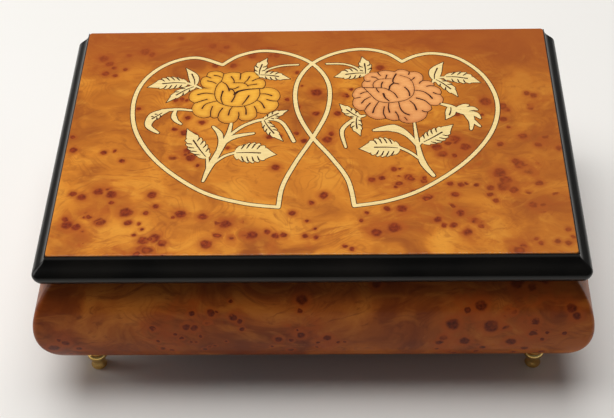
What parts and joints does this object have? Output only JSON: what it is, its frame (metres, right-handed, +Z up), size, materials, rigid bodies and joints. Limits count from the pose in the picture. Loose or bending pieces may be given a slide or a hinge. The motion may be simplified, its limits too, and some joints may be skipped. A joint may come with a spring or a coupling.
{
  "type": "wind up music box",
  "caption": "Bombe wooden jewellery music box: marquetry lid with two interlaced hearts, black lacquered lipping, brass feet, velvet inside, wind-up comb movement.",
  "frame": {"origin": "on the table, under the middle of the box's overall outline", "axes": "+X along the width to the viewer's right, front of the box towards -Y, hinges at +Y, +Z up"},
  "size_m": [0.2086, 0.145, 0.0695],
  "materials": {
    "burl_veneer": "burl veneer under clear gloss polyester",
    "case_veneer": "dark stained burl veneer under clear gloss polyester",
    "black_lacquer": "black gloss lacquer on solid wood",
    "cream_inlay": "pale maple marquetry under clear gloss polyester",
    "gold_inlay": "dyed golden marquetry under clear gloss polyester",
    "salmon_inlay": "dyed salmon marquetry under clear gloss polyester",
    "plain_wood": "stained plain wood, satin",
    "velvet": "deep red velvet",
    "brass": "polished brass",
    "steel": "bright steel",
    "zinc_casting": "zinc die casting, satin",
    "clear_acrylic": "clear acrylic sheet"
  },
  "bodies": {
    "case": {"front_panel": "case_veneer", "left_panel": "case_veneer", "right_panel": "case_veneer", "back_panel": "plain_wood", "bottom_board": "plain_wood", "foot_front_left": "brass", "foot_front_right": "brass", "foot_rear_left": "brass", "foot_rear_right": "brass", "hinge_leaf_case_left": "brass", "hinge_pin_left": "steel", "hinge_leaf_case_right": "brass", "hinge_pin_right": "steel", "wall_lining": "velvet", "floor_lining": "velvet", "divider_long": "velvet", "divider_cross": "velvet", "ring_roll_1": "velvet", "ring_roll_2": "velvet", "ring_roll_3": "velvet", "ring_roll_4": "velvet", "movement_cover": "clear_acrylic", "bedplate": "zinc_casting", "comb": "steel", "comb_screw_1": "brass", "comb_screw_2": "brass", "spring_housing": "brass", "mainspring": "steel", "governor_bracket": "zinc_casting", "movement_screw_1": "steel", "movement_screw_2": "steel"},
    "lid": {"lid_panel": "plain_wood", "molding_front": "black_lacquer", "molding_left": "black_lacquer", "molding_right": "black_lacquer", "lid_lining": "velvet", "inlay_heart_left": "cream_inlay", "inlay_heart_right": "cream_inlay", "inlay_flower_left": "gold_inlay", "inlay_flower_right": "salmon_inlay", "inlay_sprig_left_outer": "cream_inlay", "inlay_sprig_left_inner": "cream_inlay", "inlay_sprig_left_side": "cream_inlay", "inlay_sprig_left_lower": "cream_inlay", "inlay_sprig_right_inner": "cream_inlay", "inlay_sprig_right_outer": "cream_inlay", "inlay_sprig_right_side": "cream_inlay", "inlay_sprig_right_branch": "cream_inlay", "inlay_sprig_right_lower": "cream_inlay", "lid_veneer": "burl_veneer", "hinge_leaf_lid_left": "brass", "hinge_leaf_lid_right": "brass"},
    "winding": {"winding_key": "brass", "winding_arbor": "steel", "crown_wheel": "brass"},
    "cylinder": {"pinned_cylinder": "brass"},
    "governor": {"governor_wheel": "brass"},
    "fly": {"fly_worm": "steel"},
    "stop": {"stop_wire": "steel"}
  },
  "joints": [
    {"name": "lid_hinge", "type": "hinge", "parent": "case", "child": "lid", "pos_m": [0, 0.07125, 0.05865], "axis": [-1, 0, 0], "range_deg": [0, 100]},
    {"name": "cylinder_turn", "type": "hinge", "parent": "case", "child": "cylinder", "pos_m": [-0.037, 0.03, 0.03211], "axis": [1, 0, 0], "continuous": true},
    {"name": "key_turn", "type": "hinge", "parent": "case", "child": "winding", "pos_m": [-0.065, 0.03, 0.02], "axis": [0, 0, 1], "continuous": true},
    {"name": "governor_turn", "type": "hinge", "parent": "case", "child": "governor", "pos_m": [-0.0229, 0.0401, 0.03211], "axis": [1, 0, 0], "continuous": true},
    {"name": "fly_turn", "type": "hinge", "parent": "case", "child": "fly", "pos_m": [-0.0221, 0.04753, 0.03211], "axis": [0, 0, 1], "continuous": true},
    {"name": "stop_wire_tilt", "type": "hinge", "parent": "case", "child": "stop", "pos_m": [-0.0221, 0.05453, 0.03351], "axis": [-1, 0, 0], "range_deg": [0, 8], "stiffness_Nm_per_rad": 0.00002, "springref_deg": 14.32}
  ],
  "couplings": [
    {"joint": "key_turn", "follows": "cylinder_turn", "ratio": 0.44444},
    {"joint": "governor_turn", "follows": "cylinder_turn", "ratio": -4},
    {"joint": "fly_turn", "follows": "cylinder_turn", "ratio": 96},
    {"joint": "stop_wire_tilt", "follows": "lid_hinge", "ratio": 0.08}
  ]
}
